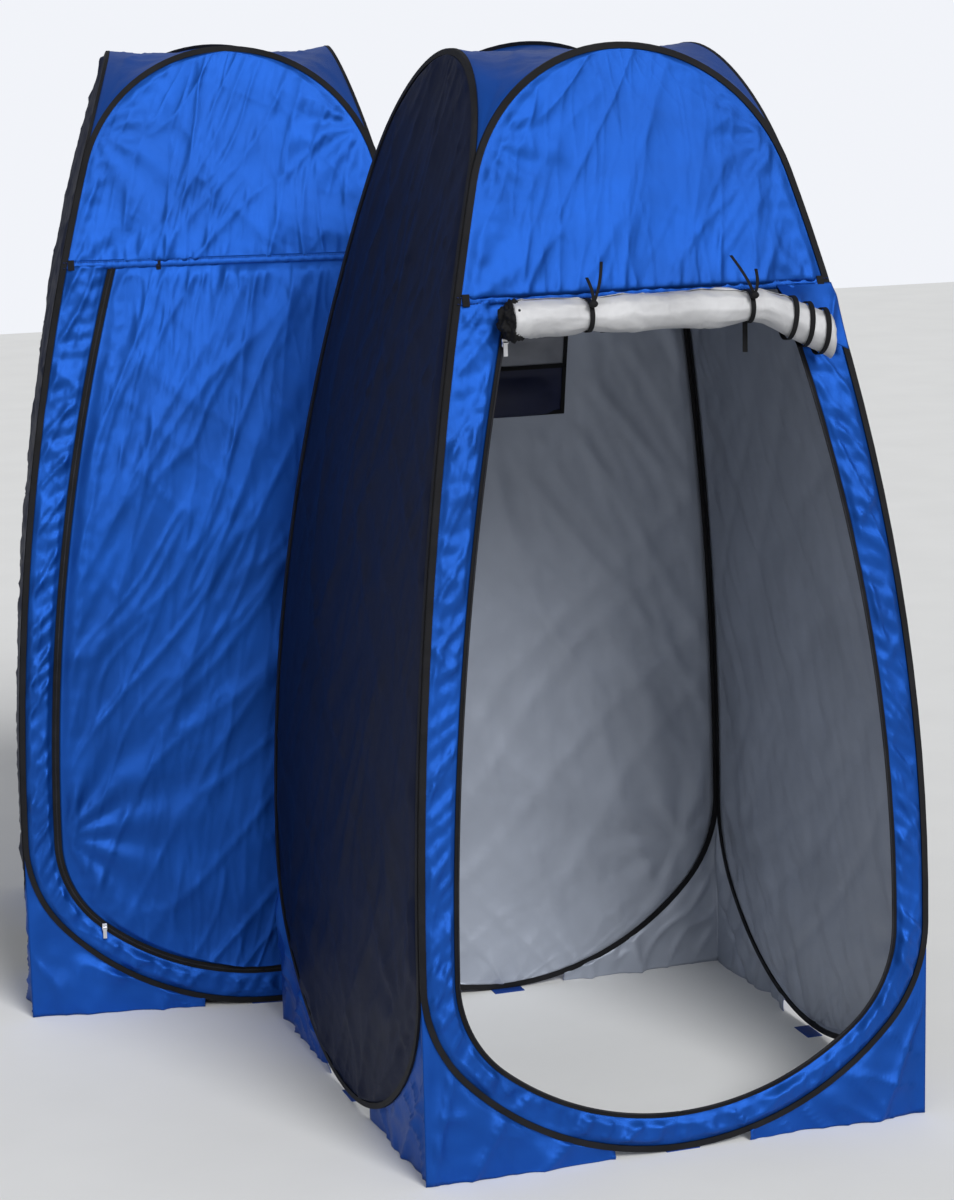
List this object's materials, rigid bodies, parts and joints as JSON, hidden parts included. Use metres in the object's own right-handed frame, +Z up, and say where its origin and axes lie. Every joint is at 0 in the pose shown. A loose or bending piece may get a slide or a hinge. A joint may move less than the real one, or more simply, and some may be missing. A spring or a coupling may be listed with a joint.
{
  "type": "privacy shower tent",
  "caption": "Pop-up privacy shower tent with two tall hoop-framed rooms, one zipped shut and one with its door rolled up.",
  "frame": {"origin": "on the ground, in the middle of the two rooms' overall footprint", "axes": "+Z up; the open room's door faces -Y and it stands towards +X and -Y; the closed room stands behind it, turned 10.4 degrees towards -X"},
  "size_m": [1.583, 2.306, 2.128],
  "materials": {
    "black_binding": "woven tape",
    "spring_steel": "satin",
    "zip_tape": "woven tape with coil",
    "slider_metal": "satin",
    "black_webbing": "webbing",
    "blue_webbing": "webbing",
    "clear_window": "grey film",
    "navy_mesh": "woven",
    "silver_cloth": "silver coated",
    "blue_cloth": "satin coated taffeta, silver inside"
  },
  "bodies": {
    "root": {"closed_room_back_binding": "black_binding", "closed_room_back_wall": "blue_cloth", "closed_room_corner_gussets": "blue_cloth", "closed_room_edge_tabs": "black_webbing", "closed_room_frame_zip_tape": "zip_tape", "closed_room_front_binding": "black_binding", "closed_room_front_header": "blue_cloth", "closed_room_ground_tabs": "blue_webbing", "closed_room_left_binding": "black_binding", "closed_room_left_border": "blue_cloth", "closed_room_left_wall": "blue_cloth", "closed_room_right_binding": "black_binding", "closed_room_right_border": "blue_cloth", "closed_room_right_wall": "blue_cloth", "closed_room_roof": "blue_cloth", "closed_room_spring_hoops": "spring_steel", "link_strap": "black_webbing", "open_room_back_binding": "black_binding", "open_room_back_wall": "blue_cloth", "open_room_corner_gussets": "blue_cloth", "open_room_edge_tabs": "black_webbing", "open_room_frame_zip_tape": "zip_tape", "open_room_front_binding": "black_binding", "open_room_front_header": "blue_cloth", "open_room_ground_tabs": "blue_webbing", "open_room_hanging_strap": "black_webbing", "open_room_left_binding": "black_binding", "open_room_left_border": "blue_cloth", "open_room_left_wall": "blue_cloth", "open_room_pocket": "navy_mesh", "open_room_pocket_window": "clear_window", "open_room_right_binding": "black_binding", "open_room_right_border": "blue_cloth", "open_room_right_wall": "blue_cloth", "open_room_roll_ties": "black_webbing", "open_room_rolled_door": "silver_cloth", "open_room_roof": "blue_cloth", "open_room_spring_hoops": "spring_steel", "open_room_towel_tab": "black_webbing", "closed_room_door_tie": "black_webbing"},
    "open_slider": {"open_room_zip_slider": "slider_metal"},
    "open_puller": {"open_room_zip_puller": "slider_metal"},
    "closed_slider": {"closed_room_zip_slider": "slider_metal"},
    "closed_puller": {"closed_room_zip_puller": "slider_metal"},
    "closed_door": {"closed_room_door_flap": "blue_cloth", "closed_room_door_zip_tape": "zip_tape"}
  },
  "joints": [
    {"name": "closed_door_swing", "type": "hinge", "parent": "root", "child": "closed_door", "pos_m": [-0.24303, 0.1627, 1.663], "axis": [0.9836, -0.1805, 0], "range_deg": [0, 34]},
    {"name": "open_zip_run", "type": "hinge", "parent": "root", "child": "open_slider", "pos_m": [2.51266, 1.05091, 0.4], "axis": [0.6319, -0.7751, 0], "range_deg": [0, 19]},
    {"name": "open_puller_swing", "type": "hinge", "parent": "open_slider", "child": "open_puller", "pos_m": [-0.03169, -1.03428, 1.585], "axis": [1, 0, 0], "range_deg": [-95, 0]},
    {"name": "closed_zip_run", "type": "hinge", "parent": "root", "child": "closed_slider", "pos_m": [-0.47068, 0.04135, 0.4], "axis": [0.1805, 0.9836, 0], "range_deg": [0, 50]},
    {"name": "closed_puller_swing", "type": "hinge", "parent": "closed_slider", "child": "closed_puller", "pos_m": [-0.62353, 0.06941, 0.20417], "axis": [0.9836, -0.1805, 0], "range_deg": [-95, 0]}
  ]
}
